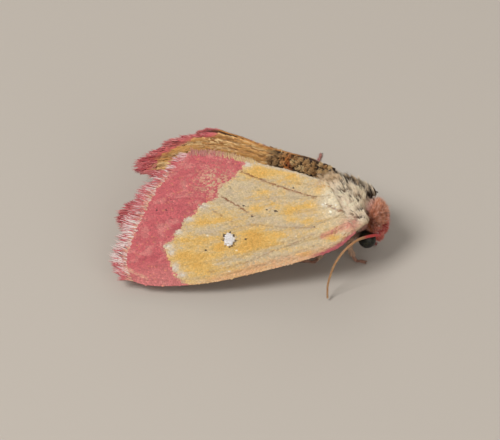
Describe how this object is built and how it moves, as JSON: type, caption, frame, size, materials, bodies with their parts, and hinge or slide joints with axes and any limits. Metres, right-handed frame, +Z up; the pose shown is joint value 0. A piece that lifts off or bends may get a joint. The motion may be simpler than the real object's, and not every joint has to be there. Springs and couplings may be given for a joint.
{
  "type": "resting moth",
  "caption": "Small moth at rest, wings folded like a roof with fringed outer edges, furry thorax, curled feelers and splayed legs.",
  "frame": {"origin": "middle of the bounding box at floor level, where the feet rest", "axes": "+X from the wing tips towards the head, +Z up, so -Y is the moth's right side"},
  "size_m": [0.0144, 0.0128, 0.0049],
  "materials": {
    "yellow_scale": "matte powdery wing scales",
    "gold_scale": "matte powdery wing scales",
    "cream_coat": "soft hair-like scales",
    "brown_coat": "soft hair-like scales",
    "red_coat": "soft hair-like scales",
    "eye_glaze": "dark, low gloss, finely faceted",
    "tan_leg": "satin, finely scaled"
  },
  "bodies": {
    "root": {"forewing_right": "yellow_scale", "forewing_left": "yellow_scale", "hindwing_right": "gold_scale", "hindwing_left": "gold_scale", "head": "red_coat", "collar": "red_coat", "thorax": "cream_coat", "tegula_right": "cream_coat", "tegula_left": "cream_coat", "abdomen": "brown_coat", "eye_right": "eye_glaze", "eye_left": "eye_glaze", "palp_right": "red_coat", "palp_left": "red_coat", "antenna_right": "tan_leg", "antenna_left": "tan_leg", "leg_front_right": "tan_leg", "leg_front_left": "tan_leg", "leg_mid_right": "tan_leg", "leg_mid_left": "tan_leg", "leg_hind_right": "tan_leg", "leg_hind_left": "tan_leg"}
  },
  "joints": []
}
